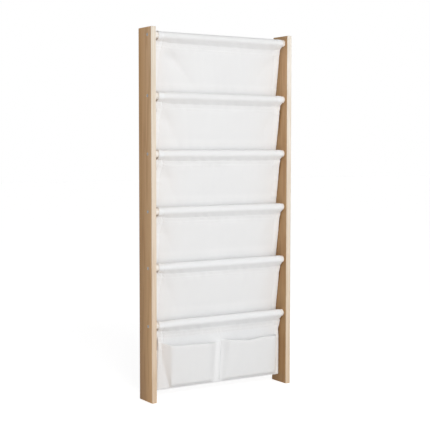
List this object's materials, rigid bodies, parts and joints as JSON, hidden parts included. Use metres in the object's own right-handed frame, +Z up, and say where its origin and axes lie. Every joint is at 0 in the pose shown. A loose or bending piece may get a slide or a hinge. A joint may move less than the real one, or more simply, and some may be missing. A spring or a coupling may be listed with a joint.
{
  "type": "sling bookshelf",
  "caption": "Front-facing children's bookcase: upright boards joined by round rods, with a canvas that hangs over the rods in book slings and ends in patch pockets.",
  "frame": {"origin": "on the floor, midway between the two upright boards and midway between their front and back edges", "axes": "+Z up, +X to the right seen from the front, -Y towards the reader at the front"},
  "size_m": [0.573, 0.088, 1.25],
  "materials": {
    "pine_board": "satin clear lacquer",
    "pine_rod": "satin clear lacquer",
    "canvas": "white cotton canvas, plain weave",
    "screw_steel": "zinc plated"
  },
  "bodies": {
    "root": {"upright_left": "pine_board", "upright_right": "pine_board", "rod_1": "pine_rod", "rod_2": "pine_rod", "rod_3": "pine_rod", "rod_4": "pine_rod", "rod_5": "pine_rod", "rod_6": "pine_rod", "screw_left_1": "screw_steel", "screw_left_2": "screw_steel", "screw_left_3": "screw_steel", "screw_left_4": "screw_steel", "screw_left_5": "screw_steel", "screw_left_6": "screw_steel", "screw_right_1": "screw_steel", "screw_right_2": "screw_steel", "screw_right_3": "screw_steel", "screw_right_4": "screw_steel", "screw_right_5": "screw_steel", "screw_right_6": "screw_steel", "sleeve_1": "canvas", "sleeve_2": "canvas", "sleeve_3": "canvas", "sleeve_4": "canvas", "sleeve_5": "canvas", "sleeve_6": "canvas", "sling_1": "canvas", "sling_2": "canvas", "sling_3": "canvas", "sling_4": "canvas", "sling_5": "canvas", "bottom_panel": "canvas", "pocket_left": "canvas", "pocket_right": "canvas"}
  },
  "joints": []
}
